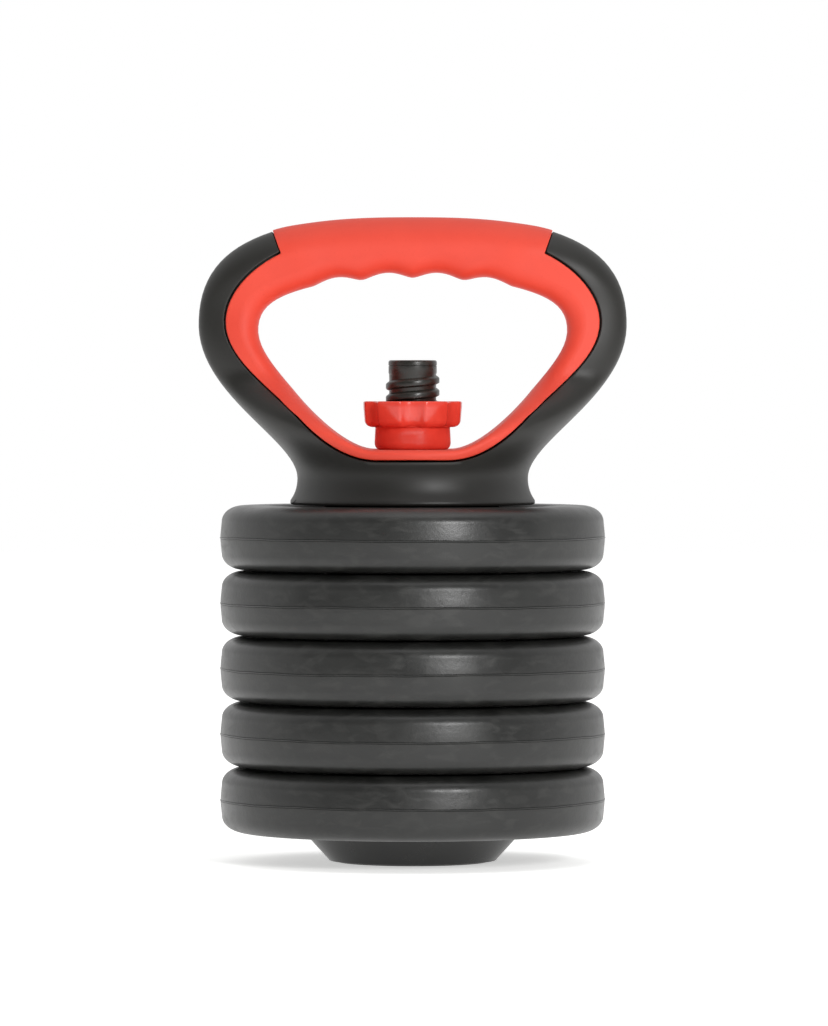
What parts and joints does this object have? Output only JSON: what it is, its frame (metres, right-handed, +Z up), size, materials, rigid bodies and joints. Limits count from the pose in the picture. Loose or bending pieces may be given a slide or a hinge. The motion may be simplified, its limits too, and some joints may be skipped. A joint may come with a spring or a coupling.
{
  "type": "adjustable kettlebell",
  "caption": "Kettlebell with round cement-filled plates stacked on a threaded rod under a looped handle with a soft red grip, clamped by a red star nut inside the loop.",
  "frame": {"origin": "middle of the footprint, on the floor", "axes": "+Z up the rod, +X along the grip, -Y towards the viewer at the front"},
  "size_m": [0.2224, 0.2, 0.3368],
  "materials": {
    "plate_vinyl": "matte moulded vinyl",
    "cement": "cast cement",
    "plug_plastic": "moulded",
    "base_plastic": "glossy moulded",
    "frame_plastic": "satin moulded",
    "rod_plastic": "satin moulded",
    "steel": "drawn tube",
    "grip_rubber": "soft matte overmould",
    "nut_plastic": "semi-gloss moulded",
    "pad_rubber": "matte"
  },
  "bodies": {
    "base": {"base_disc": "base_plastic", "foot_pad": "pad_rubber", "rod_sleeve": "rod_plastic", "rod_tube": "steel"},
    "plate_1": {"plate_1_shell": "plate_vinyl", "plate_1_fill": "cement", "plate_1_plug": "plug_plastic"},
    "plate_2": {"plate_2_shell": "plate_vinyl", "plate_2_fill": "cement", "plate_2_plug": "plug_plastic"},
    "plate_3": {"plate_3_shell": "plate_vinyl", "plate_3_fill": "cement", "plate_3_plug": "plug_plastic"},
    "plate_4": {"plate_4_shell": "plate_vinyl", "plate_4_fill": "cement", "plate_4_plug": "plug_plastic"},
    "plate_5": {"plate_5_shell": "plate_vinyl", "plate_5_fill": "cement", "plate_5_plug": "plug_plastic"},
    "handle": {"handle_frame": "frame_plastic", "grip_overmould": "grip_rubber"},
    "nut_ring": {"nut_washer": "pad_rubber"},
    "nut": {"star_nut": "nut_plastic"}
  },
  "joints": [
    {"name": "plate_1_turn", "type": "hinge", "parent": "base", "child": "plate_1", "pos_m": [0, 0, 0.0325], "axis": [0, 0, 1], "continuous": true},
    {"name": "plate_2_turn", "type": "hinge", "parent": "base", "child": "plate_2", "pos_m": [0, 0, 0.0667], "axis": [0, 0, 1], "continuous": true},
    {"name": "plate_3_turn", "type": "hinge", "parent": "base", "child": "plate_3", "pos_m": [0, 0, 0.1009], "axis": [0, 0, 1], "continuous": true},
    {"name": "plate_4_turn", "type": "hinge", "parent": "base", "child": "plate_4", "pos_m": [0, 0, 0.1351], "axis": [0, 0, 1], "continuous": true},
    {"name": "plate_5_turn", "type": "hinge", "parent": "base", "child": "plate_5", "pos_m": [0, 0, 0.1693], "axis": [0, 0, 1], "continuous": true},
    {"name": "handle_turn", "type": "hinge", "parent": "base", "child": "handle", "pos_m": [0, 0, 0.2], "axis": [0, 0, 1], "continuous": true},
    {"name": "nut_travel", "type": "slide", "parent": "base", "child": "nut_ring", "axis": [0, 0, 1], "range_m": [0, 0.04552]},
    {"name": "nut_spin", "type": "hinge", "parent": "nut_ring", "child": "nut", "pos_m": [0, 0, 0.2284], "axis": [0, 0, 1], "range_deg": [0, 2520]}
  ],
  "couplings": [
    {"joint": "nut_travel", "follows": "nut_spin", "m_per_rad": 0.0010345}
  ]
}
